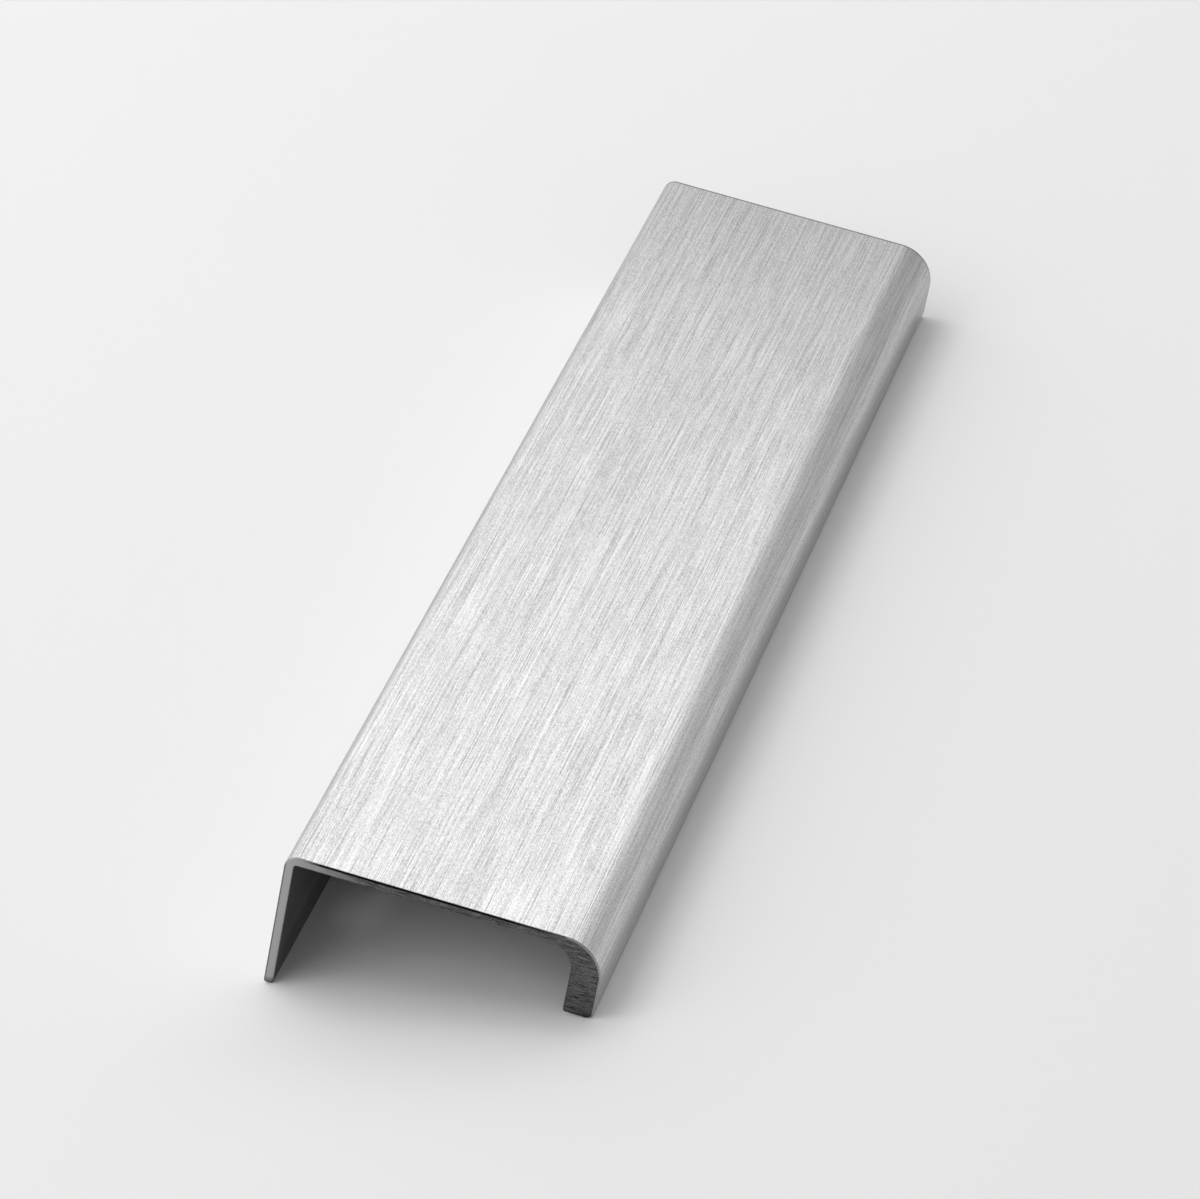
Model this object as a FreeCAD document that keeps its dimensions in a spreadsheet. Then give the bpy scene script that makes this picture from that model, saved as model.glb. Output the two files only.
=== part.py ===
import FreeCAD, Part
import os
import Sketcher
from enum import IntEnum

# Handleless finger pull profile: one length of aluminium extrusion with a J-like section.
# A thin leg goes behind a door or drawer front, a thin plate lies over the front's edge, and a
# thick rounded lip hangs before the front, for the fingers. It is screwed on through the leg.
# Drawn with x = 0 on the leg's outside, z = 0 on the plate's top and the lip at +X, it is then
# placed as it lies on a floor: on its two feet, lip side down. Its length runs along Y.

SIZES = {
    "profile_length": 200,
    "profile_width": 42.5,
    "leg_height": 19.8,
    "lip_height": 11.1,
    "wall_thickness": 1.25,
    "lip_thickness": 4,
    "fold_outer_radius": 1.8,
    "fold_inner_radius": 0.4,
    "lip_outer_radius": 5.5,
    "lip_inner_radius": 3.7,
    "leg_foot_radius": 0.3,
    "lip_foot_outer_radius": 0.8,
    "lip_foot_inner_radius": 0.4,
    "end_edge_ease": 0.2,
    "screw_hole_diameter": 4.2,
    "screw_hole_inset": 20,
    "screw_hole_rise": 10,
    "countersink_angle": 90,
    "countersink_land": 0.25,
}


class Hold(IntEnum):
    """Which point of a line, arc or circle a sketch constraint holds."""
    START = 1
    END = 2
    CENTRE = 3


class Axis(IntEnum):
    """The sketch's own axes, which start at its origin."""
    LEVEL = -1
    UPRIGHT = -2


ORIGIN = (Axis.LEVEL, Hold.START)

doc = FreeCAD.newDocument("finger_pull_profile")
sheet = doc.addObject("Spreadsheet::Sheet", "Sizes")
for row, (name, value) in enumerate(SIZES.items(), start=1):
    sheet.set(f"A{row}", name)
    sheet.set(f"B{row}", str(value))
    sheet.setAlias(f"B{row}", name)
doc.recompute()


def sketch_on(body, name, role):
    """A sketch on one of the body's own origin planes."""
    plane = next(feature for feature in body.Origin.OriginFeatures if feature.Role == role)
    sketch = body.newObject("Sketcher::SketchObject", name)
    sketch.AttachmentSupport = [(plane, "")]
    sketch.MapMode = "FlatFace"
    return sketch


def bind(sketch, name, expression, *constraint):
    """Add a sketch dimension under a name, with its value from the sheet."""
    index = sketch.addConstraint(Sketcher.Constraint(*constraint))
    sketch.renameConstraint(index, name)
    sketch.setExpression(f"Constraints.{name}", expression)


def add_rounded_outline(sketch, corners):
    """Draw a closed outline of upright and level sides, with every corner rounded.

    corners holds each corner's sharp point and the name of its radius, in order round the outline,
    under the name of the side that leaves it. Returns the sides by name.
    """
    names = list(corners)
    points = [FreeCAD.Vector(x, z, 0) for x, z, _ in corners.values()]
    radii = [sheet.get(radius_name) for _, _, radius_name in corners.values()]
    sides = {}
    arcs = {}
    for k, name in enumerate(names):
        following = (k + 1) % len(names)
        ahead = (points[following] - points[k]).normalize()
        back = (points[k - 1] - points[k]).normalize()
        start = points[k] + ahead * radii[k]
        end = points[following] - ahead * radii[following]
        middle = points[k] + (ahead + back) * radii[k] * (1 - 0.5 ** 0.5)
        sides[name] = sketch.addGeometry(Part.LineSegment(start, end))
        arcs[name] = sketch.addGeometry(Part.Arc(points[k] + back * radii[k], middle, start))
        direction = "Vertical" if abs(ahead.y) > abs(ahead.x) else "Horizontal"
        sketch.addConstraint(Sketcher.Constraint(direction, sides[name]))

    # A sketch stores each arc anticlockwise, so the end that meets a side is found by its place.
    for k, (name, (_, _, radius_name)) in enumerate(corners.items()):
        arc = arcs[name]
        bind(sketch, f"{name}_radius", f"Sizes.{radius_name}", "Radius", arc, radii[k])
        for side, side_end in ((sides[names[k - 1]], Hold.END), (sides[name], Hold.START)):
            meeting = sketch.getPoint(side, side_end)
            arc_end = min(
                (Hold.START, Hold.END),
                key=lambda end: sketch.getPoint(arc, end).distanceToPoint(meeting),
            )
            sketch.addConstraint(Sketcher.Constraint("Tangent", arc, arc_end, side, side_end))
    return sides


def extrude_section(body):
    """The J-like section, drawn clockwise from the leg's foot, and its straight length."""
    width = sheet.get("profile_width")
    wall = sheet.get("wall_thickness")
    lip_thickness = sheet.get("lip_thickness")
    leg_height = sheet.get("leg_height")
    lip_height = sheet.get("lip_height")
    section = sketch_on(body, "Section", "XZ_Plane")
    sides = add_rounded_outline(section, {
        "leg_outside": (0, -leg_height, "leg_foot_radius"),
        "plate_top": (0, 0, "fold_outer_radius"),
        "lip_outside": (width, 0, "lip_outer_radius"),
        "lip_foot": (width, -lip_height, "lip_foot_outer_radius"),
        "lip_inside": (width - lip_thickness, -lip_height, "lip_foot_inner_radius"),
        "plate_under": (width - lip_thickness, -wall, "lip_inner_radius"),
        "leg_inside": (wall, -wall, "fold_inner_radius"),
        "leg_foot": (wall, -leg_height, "leg_foot_radius"),
    })
    for side, axis in (("leg_outside", Axis.UPRIGHT), ("plate_top", Axis.LEVEL)):
        section.addConstraint(Sketcher.Constraint("PointOnObject", sides[side], Hold.START, axis))
    lip_outside = (sides["lip_outside"], Hold.START)
    bind(section, "width", "Sizes.profile_width", "DistanceX", *ORIGIN, *lip_outside, width)
    bind(section, "lip_thickness", "Sizes.lip_thickness",
         "DistanceX", sides["lip_inside"], Hold.START, *lip_outside, lip_thickness)
    bind(section, "leg_thickness", "Sizes.wall_thickness",
         "DistanceX", *ORIGIN, sides["leg_inside"], Hold.START, wall)
    for side, size, value in (
        ("plate_under", "wall_thickness", wall),
        ("leg_foot", "leg_height", leg_height),
        ("lip_foot", "lip_height", lip_height),
    ):
        bind(section, f"{side}_depth", f"Sizes.{size}",
             "DistanceY", sides[side], Hold.START, *ORIGIN, value)

    extrusion = body.newObject("PartDesign::Pad", "Extrusion")
    extrusion.Profile = section
    extrusion.SideType = "Symmetric"
    extrusion.setExpression("Length", "Sizes.profile_length")
    doc.recompute()
    return extrusion


def ease_ends(body, extrusion):
    """Both ends are sawn square, and the sharp edges round them are broken all the way round."""
    half_length = sheet.get("profile_length") / 2
    ends = [
        f"Face{number}"
        for number, face in enumerate(extrusion.Shape.Faces, start=1)
        if abs(abs(face.CenterOfMass.y) - half_length) < 1e-6
    ]
    easing = body.newObject("PartDesign::Chamfer", "EndEdges")
    easing.Base = (extrusion, ends)
    easing.setExpression("Size", "Sizes.end_edge_ease")
    doc.recompute()
    return easing


def sink_screw_holes(body):
    """Two holes in the leg, sunk from its outside, where the screws' heads lie.

    Each sink stops short of the leg's inside and leaves a land that carries the head.
    """
    half_spacing = sheet.get("profile_length") / 2 - sheet.get("screw_hole_inset")
    drop = sheet.get("leg_height") - sheet.get("screw_hole_rise")
    diameter = sheet.get("screw_hole_diameter")
    centres = sketch_on(body, "ScrewHoleCentres", "YZ_Plane")
    normal = FreeCAD.Vector(0, 0, 1)
    near, far = [
        centres.addGeometry(Part.Circle(FreeCAD.Vector(along, -drop, 0), normal, diameter / 2))
        for along in (-half_spacing, half_spacing)
    ]
    centres.addConstraint(
        Sketcher.Constraint("Symmetric", near, Hold.CENTRE, far, Hold.CENTRE, Axis.UPRIGHT)
    )
    centres.addConstraint(Sketcher.Constraint("Equal", near, far))
    bind(centres, "diameter", "Sizes.screw_hole_diameter", "Diameter", near, diameter)
    bind(centres, "spacing", "Sizes.profile_length - 2 * Sizes.screw_hole_inset",
         "DistanceX", near, Hold.CENTRE, far, Hold.CENTRE, 2 * half_spacing)
    bind(centres, "drop", "Sizes.leg_height - Sizes.screw_hole_rise",
         "DistanceY", near, Hold.CENTRE, *ORIGIN, drop)
    doc.recompute()

    holes = body.newObject("PartDesign::Hole", "ScrewHoles")
    holes.Profile = centres
    doc.recompute()
    holes.Reversed = True
    holes.DepthType = "Dimension"
    holes.DrillPoint = "Flat"
    holes.HoleCutType = "Countersink"
    holes.HoleCutCustomValues = True
    sink_depth = "(Sizes.wall_thickness - Sizes.countersink_land)"
    holes.setExpression("Diameter", "Sizes.screw_hole_diameter")
    holes.setExpression("Depth", "2 * Sizes.wall_thickness")
    holes.setExpression("HoleCutCountersinkAngle", "Sizes.countersink_angle")
    holes.setExpression(
        "HoleCutDiameter",
        f"Sizes.screw_hole_diameter + 2 * {sink_depth} * tan(Sizes.countersink_angle / 2 * 1deg)",
    )
    doc.recompute()
    return holes


def lay_on_feet(body):
    """Turn the profile about Y until both feet touch the floor, and centre it over the origin.

    The floor touches the round of the leg's inside foot corner and that of the lip's outside foot
    corner. run and rise go from the centre of the first round to that of the second.
    """
    run = (
        "(Sizes.profile_width - Sizes.lip_foot_outer_radius"
        " - Sizes.wall_thickness + Sizes.leg_foot_radius)"
    )
    rise = (
        "(Sizes.leg_height - Sizes.leg_foot_radius"
        " - Sizes.lip_height + Sizes.lip_foot_outer_radius)"
    )
    rounds_apart = f"sqrt({run} ^ 2 + {rise} ^ 2)"
    rounds_differ = "(Sizes.lip_foot_outer_radius - Sizes.leg_foot_radius)"
    tilt = f"(atan2({rise}; {run}) - asin({rounds_differ} / {rounds_apart}))"
    lip_side = (
        f"((Sizes.profile_width - Sizes.lip_outer_radius) * cos({tilt})"
        f" - Sizes.lip_outer_radius * sin({tilt}) + Sizes.lip_outer_radius)"
    )
    leg_side = (
        f"(Sizes.leg_foot_radius * cos({tilt})"
        f" - (Sizes.leg_height - Sizes.leg_foot_radius) * sin({tilt}) - Sizes.leg_foot_radius)"
    )
    body.Placement = FreeCAD.Placement(FreeCAD.Vector(), FreeCAD.Rotation(FreeCAD.Vector(0, 1, 0), 1))
    body.setExpression("Placement.Rotation.Angle", tilt)
    body.setExpression("Placement.Base.x", f"-({lip_side} + {leg_side}) / 2")
    body.setExpression(
        "Placement.Base.z",
        f"(Sizes.wall_thickness - Sizes.leg_foot_radius) * sin({tilt})"
        f" + (Sizes.leg_height - Sizes.leg_foot_radius) * cos({tilt}) + Sizes.leg_foot_radius",
    )
    doc.recompute()


profile = doc.addObject("PartDesign::Body", "Profile")
profile.Label = "finger_pull_profile"
extrusion = extrude_section(profile)
eased = ease_ends(profile, extrusion)
drilled = sink_screw_holes(profile)
lay_on_feet(profile)

failed = [item.Label for item in doc.Objects if {"Invalid", "Error"} & set(item.State)]
if failed:
    raise RuntimeError(f"These objects failed: {failed}")
if profile.Shape.isNull() or not profile.Shape.isValid():
    raise RuntimeError("The profile's shape isn't valid.")
for feature, base in ((eased, extrusion), (drilled, eased)):
    if feature.Shape.Volume >= base.Shape.Volume:
        raise RuntimeError(f"{feature.Label} cut nothing.")

os.makedirs("parts", exist_ok=True)
profile.Shape.exportStep(f"parts/{profile.Label}.step")
print(f"{profile.Label}: {profile.Shape.Volume:.1f} mm3, {profile.Shape.BoundBox}")
print(profile.Placement)
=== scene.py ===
import math

import bmesh
import bpy
from mathutils import Matrix, Vector


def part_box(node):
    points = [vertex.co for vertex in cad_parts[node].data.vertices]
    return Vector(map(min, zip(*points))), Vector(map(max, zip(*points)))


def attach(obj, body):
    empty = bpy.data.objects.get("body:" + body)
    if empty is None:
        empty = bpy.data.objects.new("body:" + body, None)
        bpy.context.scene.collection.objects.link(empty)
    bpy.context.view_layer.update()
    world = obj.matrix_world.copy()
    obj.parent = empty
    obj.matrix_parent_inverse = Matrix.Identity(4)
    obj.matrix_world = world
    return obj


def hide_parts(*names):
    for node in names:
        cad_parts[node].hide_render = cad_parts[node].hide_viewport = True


# Finger pull profile, a short length of brushed aluminium extrusion that lies on its two feet.
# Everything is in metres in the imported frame: X from the leg to the lip, Y along, Z up.

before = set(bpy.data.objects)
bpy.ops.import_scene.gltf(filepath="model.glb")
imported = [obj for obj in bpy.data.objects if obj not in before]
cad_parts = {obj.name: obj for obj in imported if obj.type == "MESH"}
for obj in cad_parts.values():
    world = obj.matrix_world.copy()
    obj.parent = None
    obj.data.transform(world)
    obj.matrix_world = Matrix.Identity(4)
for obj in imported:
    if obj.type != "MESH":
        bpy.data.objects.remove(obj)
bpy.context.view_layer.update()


# Camera
# The product shot looks along the profile from above its near end, a little to the lip's side,
# with a long lens from about a metre away, so that the two long edges run almost parallel.

MM = 0.001
viewing_distance = 951.7 * MM
viewing_azimuth = math.radians(15.40)
viewing_elevation = math.radians(29.11)
camera_roll = math.radians(-2.09)
aim = Vector((-2.58, -3.28, 5.15)) * MM
towards_camera = Vector((
    math.sin(viewing_azimuth) * math.cos(viewing_elevation),
    -math.cos(viewing_azimuth) * math.cos(viewing_elevation),
    math.sin(viewing_elevation),
))

camera_data = bpy.data.cameras.new("product_camera")
camera_data.lens = 206.1
camera_data.sensor_width = 36
camera_data.clip_start = 0.05
camera = bpy.data.objects.new("product_camera", camera_data)
camera.matrix_world = (
    Matrix.Translation(aim + towards_camera * viewing_distance)
    @ towards_camera.to_track_quat("Z", "Y").to_matrix().to_4x4()
    @ Matrix.Rotation(camera_roll, 4, "Z")
)
bpy.context.scene.collection.objects.link(camera)
bpy.context.scene.camera = camera


# Extruded profile
# One piece of aluminium pressed through a die: a thin leg, a thin plate and a thick rounded lip.
# Its corners carry the die's rounds, and both ends are sawn square with their edges broken.

width = 42.5 * MM
length = 200 * MM
leg_height = 19.8 * MM
lip_height = 11.1 * MM
wall = 1.25 * MM
lip_thickness = 4 * MM
leg_foot_round = 0.3 * MM
fold_round = 1.8 * MM
fold_inner_round = 0.4 * MM
lip_round = 5.5 * MM
lip_inner_round = 3.7 * MM
lip_foot_round = 0.8 * MM
lip_foot_inner_round = 0.4 * MM
end_easing = 0.2 * MM

# Each corner of the section as drawn, across and down from the leg's outside and the plate's top,
# with its radius and the number of flats that make its round.
corners = {
    "leg_foot_outside": (0, -leg_height, leg_foot_round, 5),
    "fold_outside": (0, 0, fold_round, 14),
    "lip_round_outside": (width, 0, lip_round, 28),
    "lip_foot_outside": (width, -lip_height, lip_foot_round, 8),
    "lip_foot_inside": (width - lip_thickness, -lip_height, lip_foot_inner_round, 6),
    "lip_round_inside": (width - lip_thickness, -wall, lip_inner_round, 22),
    "fold_inside": (wall, -wall, fold_inner_round, 6),
    "leg_foot_inside": (wall, -leg_height, leg_foot_round, 5),
}

body = bmesh.new()
section_points = [body.verts.new((x, -length / 2, z)) for x, z, _, _ in corners.values()]
body.faces.new(section_points)
for point, (_, _, radius, flats) in zip(section_points, corners.values()):
    bmesh.ops.bevel(
        body, geom=[point], affect="VERTICES", offset_type="OFFSET", offset=radius,
        segments=flats, profile=0.5, material=-1, clamp_overlap=False,
    )
pushed = bmesh.ops.extrude_face_region(body, geom=body.faces[:])
far_end = [item for item in pushed["geom"] if isinstance(item, bmesh.types.BMVert)]
bmesh.ops.translate(body, verts=far_end, vec=(0, length, 0))
bmesh.ops.recalc_face_normals(body, faces=body.faces[:])

end_edges = [
    edge
    for edge in body.edges
    if edge.verts[0].co.y == edge.verts[1].co.y
]
bmesh.ops.bevel(
    body, geom=end_edges, affect="EDGES", offset_type="OFFSET", offset=end_easing,
    segments=3, profile=0.5, material=-1, clamp_overlap=False,
)

# Screw holes
# Two screws go through the leg into the back of the front. The holes are drilled and sunk from
# the leg's outside, and a thin land is left under each sink to carry the screw's head.

hole_radius = 2.1 * MM
sink_radius = 3.1 * MM
land = 0.25 * MM
hole_inset = 20 * MM
hole_drop = 9.8 * MM
patch = 4 * MM
hole_sides = 48
square_on = 0.999
cutting_tolerance = 1e-7
hole_walls = set()

# Four cuts leave a square patch of the leg round each hole. The patch is taken out on both sides
# of the leg, its rims are divided to match the hole, and rings bridge them through the wall.
for along in (hole_inset - length / 2, length / 2 - hole_inset):
    centre = Vector((0, along, -hole_drop))
    for offset, normal in (
        ((0, -patch, 0), (0, 1, 0)),
        ((0, patch, 0), (0, 1, 0)),
        ((0, 0, -patch), (0, 0, 1)),
        ((0, 0, patch), (0, 0, 1)),
    ):
        leg_faces = [
            face
            for face in body.faces
            if abs(face.normal.x) > square_on and face.calc_center_median().x < 2 * wall
        ]
        leg_edges = {edge for face in leg_faces for edge in face.edges}
        leg_verts = {vert for face in leg_faces for vert in face.verts}
        bmesh.ops.bisect_plane(
            body, geom=leg_faces + list(leg_edges) + list(leg_verts),
            dist=cutting_tolerance, plane_co=centre + Vector(offset), plane_no=normal,
        )
    drilled = [
        face
        for face in body.faces
        if abs(face.normal.x) > square_on
        and (face.calc_center_median() - centre).length < 2 * wall
    ]
    rims = []
    for face in sorted(drilled, key=lambda face: face.calc_center_median().x):
        rims.append(list(face.edges))
        bmesh.ops.delete(body, geom=[face], context="FACES_ONLY")
    for k, rim in enumerate(rims):
        cut = bmesh.ops.subdivide_edges(body, edges=rim, cuts=hole_sides // 4 - 1)
        rims[k] = [item for item in cut["geom_split"] if isinstance(item, bmesh.types.BMEdge)]
    # The first and last ring start a little off the leg's faces, because a bridge between two
    # loops in one plane can twist, and are set flush with them once they are bridged.
    rings = []
    for x, flush_x, radius in (
        (-land, 0, sink_radius),
        (wall - land, wall - land, hole_radius),
        (wall + land, wall, hole_radius),
    ):
        ring_centre = centre + Vector((x, 0, 0))
        facing_out = Matrix.Translation(ring_centre) @ Matrix.Rotation(math.pi / 2, 4, "Y")
        ring = bmesh.ops.create_circle(body, segments=hole_sides, radius=radius, matrix=facing_out)
        rings.append((ring["verts"], flush_x))
    ring_edges = [list({edge for vert in verts for edge in vert.link_edges}) for verts, _ in rings]
    loops = [rims[0], *ring_edges, rims[1]]
    bands = [
        bmesh.ops.bridge_loops(body, edges=first + second)["faces"]
        for first, second in zip(loops, loops[1:])
    ]
    hole_walls.update(bands[1] + bands[2])
    for verts, flush_x in rings:
        for vert in verts:
            vert.co.x = flush_x

bmesh.ops.recalc_face_normals(body, faces=body.faces[:])

# Lying unheld, the profile rests on the round of the leg's inside foot corner and on that of the
# lip's outside foot corner, so it is turned about its length until both are level.
foot_run = (width - lip_foot_round) - (wall - leg_foot_round)
foot_rise = (leg_height - leg_foot_round) - (lip_height - lip_foot_round)
foot_span = math.hypot(foot_run, foot_rise)
round_slope = math.asin((lip_foot_round - leg_foot_round) / foot_span)
resting_tilt = math.atan2(foot_rise, foot_run) - round_slope

# The skin's own map only tells the shine which way the grain runs: v follows the length, and u
# crosses the grain, growing from the leg's foot over the plate to the lip's foot.
skin_map = body.loops.layers.uv.new("skin")

# The order of the four finishes is that of the mesh's material slots. A face is inside where its
# middle lies behind the walls, less a hundredth for rounding, or in the hollow round under the lip.
# The lip's outer end edge, rubbed smooth after the sawing, counts as skin.
BRUSHED, INSIDE, SAWN, DRILLED = range(4)
nearly = 0.99
for face in body.faces:
    for loop in face.loops:
        x, y, z = loop.vert.co
        loop[skin_map].uv = (x + z if x < width / 2 else x - z, y)
    middle = face.calc_center_median()
    between_walls = wall * nearly < middle.x < width - lip_thickness * nearly
    inside = between_walls and middle.z < -wall * nearly
    under_lip = middle.x > width - lip_thickness - lip_inner_round
    hollow_round = under_lip and face.normal.x < 0 and face.normal.z < 0
    lip_skin = middle.x > width - lip_round and face.normal.x > 0.01
    if face in hole_walls:
        face.material_index = DRILLED
    elif abs(face.normal.y) > 0.3 and not lip_skin:
        face.material_index = SAWN
    elif inside or hollow_round:
        face.material_index = INSIDE
    else:
        face.material_index = BRUSHED
    face.smooth = True

body.transform(Matrix.Rotation(resting_tilt, 4, "Y"))
lowest = Vector([min(vert.co[axis] for vert in body.verts) for axis in range(3)])
section_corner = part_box("finger_pull_profile")[0] - lowest
body.transform(Matrix.Translation(section_corner))

profile_mesh = bpy.data.meshes.new("brushed_profile")
body.to_mesh(profile_mesh)
body.free()
profile_mesh.set_sharp_from_angle(angle=math.radians(25))
profile = bpy.data.objects.new("brushed_profile", profile_mesh)
bpy.context.scene.collection.objects.link(profile)
true_flats = profile.modifiers.new("true_flats", "WEIGHTED_NORMAL")
true_flats.keep_sharp = True


def linear_colour(hex_colour):
    """An sRGB hex colour as the linear RGBA that the shaders take."""
    channels = [int(hex_colour[k:k + 2], 16) / 255 for k in (1, 3, 5)]
    return [c / 12.92 if c <= 0.04045 else ((c + 0.055) / 1.055) ** 2.4 for c in channels] + [1]


def add_node(tree, kind, sockets=None, **settings):
    """Add a node, set its settings, then fill or link its input sockets by name or number."""
    node = tree.nodes.new(kind)
    for name, value in settings.items():
        setattr(node, name, value)
    for name, value in (sockets or {}).items():
        if isinstance(value, bpy.types.NodeSocket):
            tree.links.new(value, node.inputs[name])
        else:
            node.inputs[name].default_value = value
    return node


# Brushed anodised aluminium: the skin is brushed along its length with an abrasive belt and then
# anodised in natural silver. It gives a bright satin face of fine broken lines, light and dark,
# whose highlights spread across the lines and stay short along them.
brushed = bpy.data.materials.new("brushed_anodised_aluminium")
brushed.use_nodes = True
tree = brushed.node_tree
tree.nodes.clear()
place = add_node(tree, "ShaderNodeTexCoord").outputs["Object"]
tilt = (0, resting_tilt, 0)

# Short, middling and long lines, and broad faint streaks, each with its width and length in
# millimetres and its detail. A real belt cuts lines about half as wide, too fine to show here.
grain = []
for across, along, detail in ((0.1, 0.4, 1), (0.11, 10, 1), (0.12, 40, 1), (2.5, 90, 1)):
    stretched = add_node(tree, "ShaderNodeMapping", {
        "Vector": place, "Rotation": tilt, "Scale": (across * MM, along * MM, across * MM),
    }, vector_type="TEXTURE")
    grain.append(add_node(tree, "ShaderNodeTexNoise", {
        "Vector": stretched.outputs[0], "Scale": 1, "Detail": detail, "Roughness": 0.6,
    }).outputs["Fac"])
fine, middling, long, broad = grain
drawn = add_node(tree, "ShaderNodeMix", {"Factor": 0.5, "A": middling, "B": long}).outputs["Result"]
lines = add_node(tree, "ShaderNodeMix", {"Factor": 0.4, "A": drawn, "B": fine}).outputs["Result"]
tone = add_node(tree, "ShaderNodeMix", {"Factor": 0.03, "A": lines, "B": broad}).outputs["Result"]
colour = add_node(tree, "ShaderNodeValToRGB", {"Fac": tone})
scratch, crest = colour.color_ramp.elements
skin = colour.color_ramp.elements.new(0.45)
scratch.position = 0.36
scratch.color = linear_colour("#B3B3B3")
skin.color = linear_colour("#EAEAEA")
crest.position = 0.6
crest.color = linear_colour("#F3F3F3")

# A line of painted shade darkens the skin along its two sawn edges, and is wider at the far end.
# It only darkens the skin's tone, and the shine runs on over it.
lengthwise = add_node(tree, "ShaderNodeSeparateXYZ", {"Vector": place}).outputs["Y"]
near_edge_shade = add_node(tree, "ShaderNodeMapRange", {
    "Value": lengthwise, "From Min": 0.15 * MM - length / 2, "From Max": 0.25 * MM - length / 2,
    "To Min": 0.5, "To Max": 0,
}).outputs["Result"]
far_edge_shade = add_node(tree, "ShaderNodeMapRange", {
    "Value": lengthwise, "From Min": length / 2 - 0.6 * MM, "From Max": length / 2 - 0.2 * MM,
    "To Min": 0, "To Max": 0.8,
}).outputs["Result"]
skin_edge_painted_shade = add_node(tree, "ShaderNodeMath", {0: near_edge_shade, 1: far_edge_shade}, operation="MAXIMUM").outputs[0]
finish = add_node(tree, "ShaderNodeMix", {
    "Factor": skin_edge_painted_shade, "A": colour.outputs["Color"], "B": linear_colour("#2A2A2A"),
}, data_type="RGBA").outputs["Result"]
gloss = add_node(tree, "ShaderNodeMapRange", {
    "Value": lines, "From Min": 0.39, "From Max": 0.53, "To Min": 0.43, "To Max": 0.28,
}).outputs["Result"]
relief = add_node(tree, "ShaderNodeBump", {
    "Height": lines, "Strength": 0.75, "Distance": 0.05 * MM,
}).outputs["Normal"]
across_grain = add_node(tree, "ShaderNodeTangent", direction_type="UV_MAP", uv_map="skin")
shader = add_node(tree, "ShaderNodeBsdfPrincipled", {
    "Base Color": finish, "Metallic": 1, "Roughness": gloss,
    "Specular Tint": linear_colour("#D2D2D2"), "Anisotropic": 0.8,
    "Tangent": across_grain.outputs[0], "Normal": relief,
})
add_node(tree, "ShaderNodeOutputMaterial", {"Surface": shader.outputs[0]})

# Extruded anodised aluminium: the inside is left as it came from the die and is only anodised, so
# it is duller than the skin and carries faint broad die lines along its length. Its dark grey is
# painted shade for the hollow under the plate.
shaded_die_drawn = bpy.data.materials.new("extruded_aluminium_with_painted_shade")
shaded_die_drawn.use_nodes = True
tree = shaded_die_drawn.node_tree
tree.nodes.clear()
place = add_node(tree, "ShaderNodeTexCoord").outputs["Object"]
stretched = add_node(tree, "ShaderNodeMapping", {
    "Vector": place, "Rotation": tilt, "Scale": (0.5 * MM, 120 * MM, 0.5 * MM),
}, vector_type="TEXTURE")
die_lines = add_node(tree, "ShaderNodeTexNoise", {
    "Vector": stretched.outputs[0], "Scale": 1, "Detail": 3, "Roughness": 0.6,
}).outputs["Fac"]
colour = add_node(tree, "ShaderNodeValToRGB", {"Fac": die_lines})
colour.color_ramp.elements[0].position = 0.3
colour.color_ramp.elements[0].color = linear_colour("#5F5F5F")
colour.color_ramp.elements[1].position = 0.7
colour.color_ramp.elements[1].color = linear_colour("#7F7F7F")
relief = add_node(tree, "ShaderNodeBump", {
    "Height": die_lines, "Strength": 0.2, "Distance": 0.01 * MM,
}).outputs["Normal"]
shader = add_node(tree, "ShaderNodeBsdfPrincipled", {
    "Base Color": colour.outputs["Color"], "Metallic": 1, "Roughness": 0.42, "Normal": relief,
})
add_node(tree, "ShaderNodeOutputMaterial", {"Surface": shader.outputs[0]})

# Sawn aluminium: both ends are cut after the brushing. The saw leaves the thin leg even and tears
# the thick lip with short rough marks that run along the section's width. The cut's tone is painted
# shade: pale at the leg and dark over the plate and lip, whose ends lie in the profile's shadow.
sawn = bpy.data.materials.new("sawn_aluminium_with_painted_shade")
sawn.use_nodes = True
tree = sawn.node_tree
tree.nodes.clear()
place = add_node(tree, "ShaderNodeTexCoord").outputs["Object"]
# Longer and shorter tooth marks, each with its width and height in millimetres and its detail.
marks = []
for across, up, detail in ((1.6, 0.09, 2), (0.16, 0.1, 1)):
    stretched = add_node(tree, "ShaderNodeMapping", {
        "Vector": place, "Location": section_corner, "Rotation": tilt,
        "Scale": (across * MM, 0.3 * MM, up * MM),
    }, vector_type="TEXTURE")
    marks.append(add_node(tree, "ShaderNodeTexNoise", {
        "Vector": stretched.outputs[0], "Scale": 1, "Detail": detail, "Roughness": 0.6,
    }).outputs["Fac"])
longer_marks, shorter_marks = marks
tooth_marks = add_node(tree, "ShaderNodeMix", {
    "Factor": 0.35, "A": longer_marks, "B": shorter_marks,
}).outputs["Result"]
# The tooth marks vary the tone, and its low, dark range is painted shade.
torn_and_shaded_tone = add_node(tree, "ShaderNodeValToRGB", {"Fac": tooth_marks})
torn_and_shaded_tone.color_ramp.elements[0].position = 0.38
torn_and_shaded_tone.color_ramp.elements[0].color = linear_colour("#2A2A2A")
torn_and_shaded_tone.color_ramp.elements[1].position = 0.66
torn_and_shaded_tone.color_ramp.elements[1].color = linear_colour("#858585")

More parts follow.
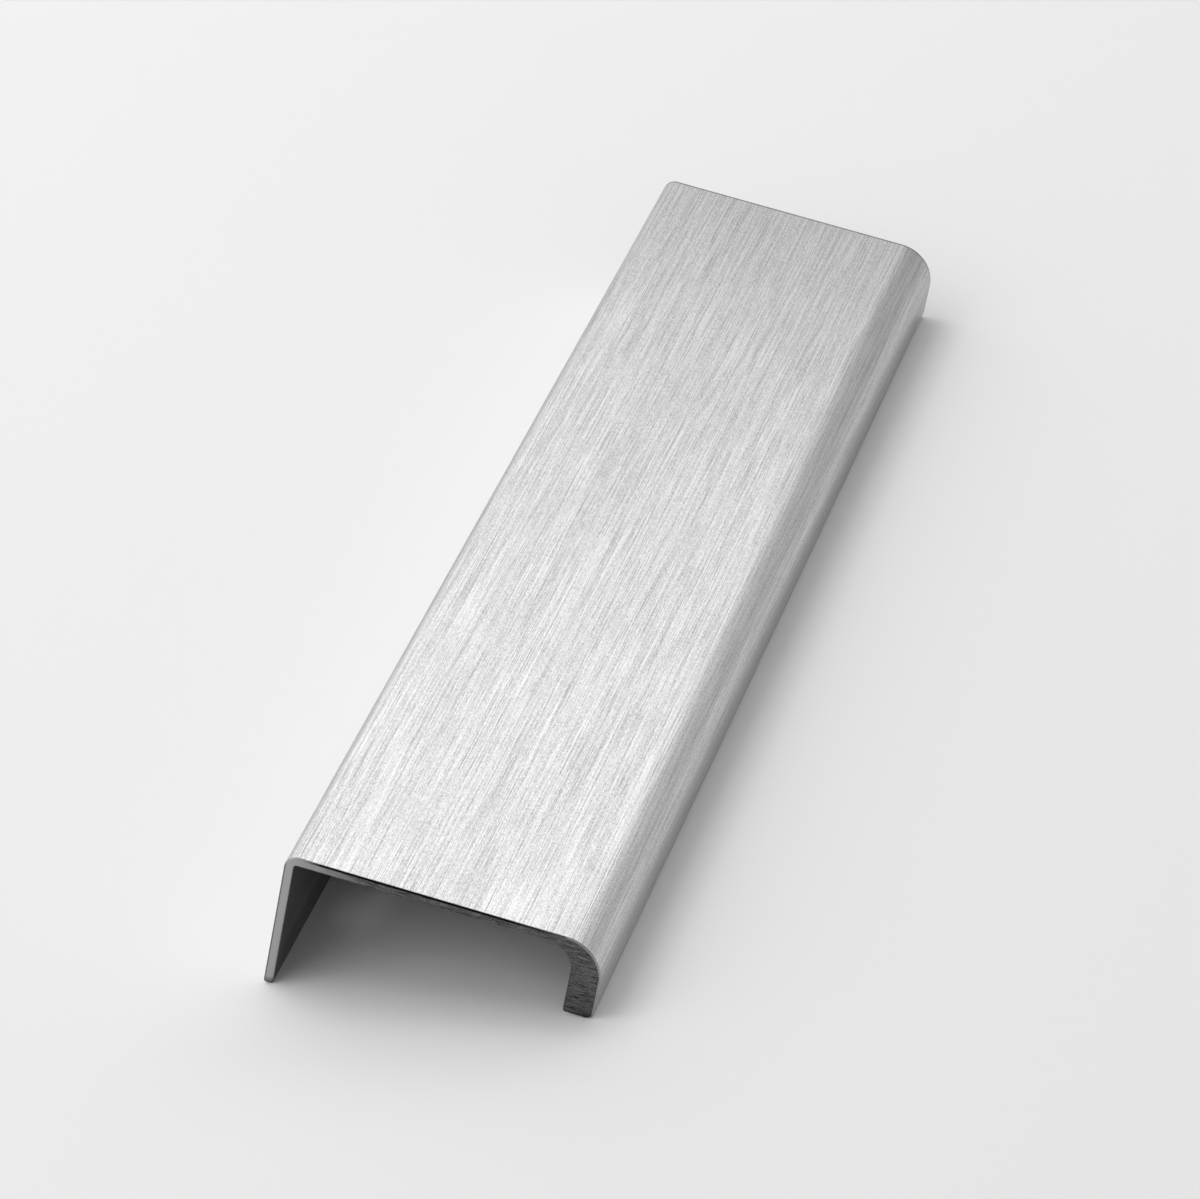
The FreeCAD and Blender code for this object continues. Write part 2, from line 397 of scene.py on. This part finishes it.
# Where a point lies in the section, in millimetres across and down from its drawn corner. Over the
# first 11 mm of the plate the cut goes from the leg's pale tone to the marked one, a darkening that
# is painted shade, and the same share deepens the tooth marks.
section_place = add_node(tree, "ShaderNodeMapping", {
    "Vector": place, "Location": section_corner, "Rotation": tilt, "Scale": (MM, MM, MM),
}, vector_type="TEXTURE").outputs[0]
section = add_node(tree, "ShaderNodeSeparateXYZ", {"Vector": section_place})
tearing_and_shade_share = add_node(tree, "ShaderNodeMapRange", {
    "Value": section.outputs["X"], "From Min": 0.5, "From Max": 11, "To Min": 0, "To Max": 1,
}).outputs["Result"]
cut = add_node(tree, "ShaderNodeMix", {
    "Factor": tearing_and_shade_share, "A": linear_colour("#AEAEAE"), "B": torn_and_shaded_tone.outputs["Color"],
}, data_type="RGBA").outputs["Result"]

# Painted shade: a dark line under the plate's upper edge stands in for the shadow of its burr. It
# starts past the fold and fades before the lip. A fainter painted shade line follows the leg's outer
# edge, and the last millimetre of each foot is darkest, a painted contact shadow on the floor.
plate_share = add_node(tree, "ShaderNodeMapRange", {
    "Value": section.outputs["X"], "From Min": 0, "From Max": width / MM, "To Min": 0, "To Max": 1,
}).outputs["Result"]
burr_shadow_run = add_node(tree, "ShaderNodeValToRGB", {"Fac": plate_share})
for position, share in ((0.05, 0), (0.11, 1), (0.7, 1), (0.9, 0)):
    stop = burr_shadow_run.color_ramp.elements.new(position)
    stop.color = (share, share, share, 1)
burr_shadow_run.color_ramp.elements[0].color = (0, 0, 0, 1)
burr_shadow_run.color_ramp.elements[-1].color = (0, 0, 0, 1)
edge_band = add_node(tree, "ShaderNodeMapRange", {
    "Value": section.outputs["Z"], "From Min": -0.38, "From Max": -0.22, "To Min": 0, "To Max": 1,
}).outputs["Result"]
plate_burr_shadow = add_node(tree, "ShaderNodeMath", {
    0: edge_band, 1: burr_shadow_run.outputs["Color"],
}, operation="MULTIPLY").outputs[0]
leg_edge_shadow = add_node(tree, "ShaderNodeMapRange", {
    "Value": section.outputs["X"], "From Min": 0.14, "From Max": 0.26, "To Min": 0.75, "To Max": 0,
}).outputs["Result"]
burr_shadow_lines = add_node(tree, "ShaderNodeMath", {
    0: plate_burr_shadow, 1: leg_edge_shadow,
}, operation="MAXIMUM").outputs[0]
height = add_node(tree, "ShaderNodeSeparateXYZ", {"Vector": place}).outputs["Z"]
foot = add_node(tree, "ShaderNodeMapRange", {
    "Value": height, "From Min": 0.1 * MM, "From Max": 1.1 * MM, "To Min": 0.85, "To Max": 0,
}).outputs["Result"]
end_painted_shade = add_node(tree, "ShaderNodeMath", {0: burr_shadow_lines, 1: foot}, operation="MAXIMUM").outputs[0]
cut = add_node(tree, "ShaderNodeMix", {
    "Factor": end_painted_shade, "A": cut, "B": linear_colour("#0C0C0C"),
}, data_type="RGBA").outputs["Result"]
shader = add_node(tree, "ShaderNodeBsdfPrincipled", {
    "Base Color": cut, "Metallic": 1, "Roughness": 0.5,
})
depth = add_node(tree, "ShaderNodeMath", {0: tearing_and_shade_share, 1: 0.6}, operation="MULTIPLY").outputs[0]
relief = add_node(tree, "ShaderNodeBump", {
    "Height": tooth_marks, "Strength": depth, "Distance": 0.04 * MM,
}).outputs["Normal"]
tree.links.new(relief, shader.inputs["Normal"])
add_node(tree, "ShaderNodeOutputMaterial", {"Surface": shader.outputs[0]})

# Drilled aluminium: the drill and the countersink cut bright metal and leave fine turned rings
# round each hole, which catch the light as small bright circles. The rings run at equal depth, and
# they are drawn a few times coarser than a real tool's feed, so that they show.
drilled = bpy.data.materials.new("drilled_aluminium")
drilled.use_nodes = True
tree = drilled.node_tree
tree.nodes.clear()
place = add_node(tree, "ShaderNodeTexCoord").outputs["Object"]
stretched = add_node(tree, "ShaderNodeMapping", {
    "Vector": place, "Rotation": tilt, "Scale": (0.12 * MM, 8 * MM, 8 * MM),
}, vector_type="TEXTURE")
turned_rings = add_node(tree, "ShaderNodeTexNoise", {
    "Vector": stretched.outputs[0], "Scale": 1, "Detail": 2, "Roughness": 0.5,
}).outputs["Fac"]
colour = add_node(tree, "ShaderNodeValToRGB", {"Fac": turned_rings})
colour.color_ramp.elements[0].position = 0.35
colour.color_ramp.elements[0].color = linear_colour("#B5B5B5")
colour.color_ramp.elements[1].position = 0.65
colour.color_ramp.elements[1].color = linear_colour("#EFEFEF")
relief = add_node(tree, "ShaderNodeBump", {
    "Height": turned_rings, "Strength": 0.3, "Distance": 0.02 * MM,
}).outputs["Normal"]
shader = add_node(tree, "ShaderNodeBsdfPrincipled", {
    "Base Color": colour.outputs["Color"], "Metallic": 1, "Roughness": 0.3, "Normal": relief,
})
add_node(tree, "ShaderNodeOutputMaterial", {"Surface": shader.outputs[0]})

for material in (brushed, shaded_die_drawn, sawn, drilled):
    profile_mesh.materials.append(material)
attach(profile, "root")
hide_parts("finger_pull_profile")


# Floor
# A plain white studio table top with a fine matt finish. It is large enough to fill every view,
# so that the profile lies on one even tone with only its own soft shadow.

floor_radius = 6
table = bmesh.new()
bmesh.ops.create_circle(table, cap_ends=True, segments=64, radius=floor_radius)
floor_mesh = bpy.data.meshes.new("studio_floor")
table.to_mesh(floor_mesh)
table.free()
floor = bpy.data.objects.new("studio_floor", floor_mesh)
bpy.context.scene.collection.objects.link(floor)

matt_white = bpy.data.materials.new("matt_white_laminate")
matt_white.use_nodes = True
tree = matt_white.node_tree
tree.nodes.clear()
shader = add_node(tree, "ShaderNodeBsdfPrincipled", {
    "Base Color": linear_colour("#FBFBFB"), "Roughness": 0.9, "Specular IOR Level": 0.1,
})
add_node(tree, "ShaderNodeOutputMaterial", {"Surface": shader.outputs[0]})
floor_mesh.materials.append(matt_white)


# Studio light
# A wide softbox hangs behind the profile, where the plate mirrors it, and fades towards the far
# end. Softer boxes all round and overhead fill the floor and show the plate and the leg from the
# other sides, and a dim room behind them leaves the lip's round grey.

# Each lamp's azimuth turns clockwise from the profile's far end, seen from above. Its distance and
# size are in metres, and a brightness of 1 is that of a white sheet in full light.
for name, azimuth, elevation, roll, distance, size, brightness in (
    ("back_softbox", 0, 38.8, -4, 1.4, (1.7, 0.58), 1.13),
    ("low_back_softbox", -42, 14, 0, 1.2, (0.9, 0.5), 0.85),
    ("low_lip_card", 33, 14, 0, 1.4, (0.5, 0.3), 0.54),
    ("low_right_card", 58, 9, 0, 1.4, (0.8, 0.36), 0.5),
    ("left_softbox", -84, 33, 0, 1.3, (2.1, 1.5), 0.72),
    ("front_left_softbox", -145, 32, 0, 1.3, (0.9, 1.2), 1.1),
    ("front_softbox", 165, 22, 0, 1.3, (1.4, 0.6), 0.8),
    ("overhead_back_softbox", -20, 66, 0, 1.3, (1.0, 0.7), 1.0),
    ("overhead_left_softbox", -90, 68, 0, 1.3, (1.0, 0.7), 1.45),
    ("overhead_right_softbox", 90, 66, 0, 1.3, (0.8, 0.5), 0.8),
):
    lamp_data = bpy.data.lights.new(name, "AREA")
    lamp_data.shape = "RECTANGLE"
    lamp_data.size, lamp_data.size_y = size
    lamp_data.energy = brightness * math.pi * size[0] * size[1]
    towards_lamp = (
        Matrix.Rotation(-math.radians(azimuth), 3, "Z")
        @ Matrix.Rotation(math.radians(elevation), 3, "X")
        @ Vector((0, 1, 0))
    )
    lamp = bpy.data.objects.new(name, lamp_data)
    lamp.matrix_world = (
        Matrix.Translation(towards_lamp * distance)
        @ towards_lamp.to_track_quat("Z", "Y").to_matrix().to_4x4()
        @ Matrix.Rotation(math.radians(roll), 4, "Z")
    )
    bpy.context.scene.collection.objects.link(lamp)

room = bpy.data.worlds.new("dim_studio_room")
room.use_nodes = True
room.node_tree.nodes["Background"].inputs["Color"].default_value = linear_colour("#6E6E6E")
bpy.context.scene.world = room

bpy.context.scene.view_settings.view_transform = "Standard"
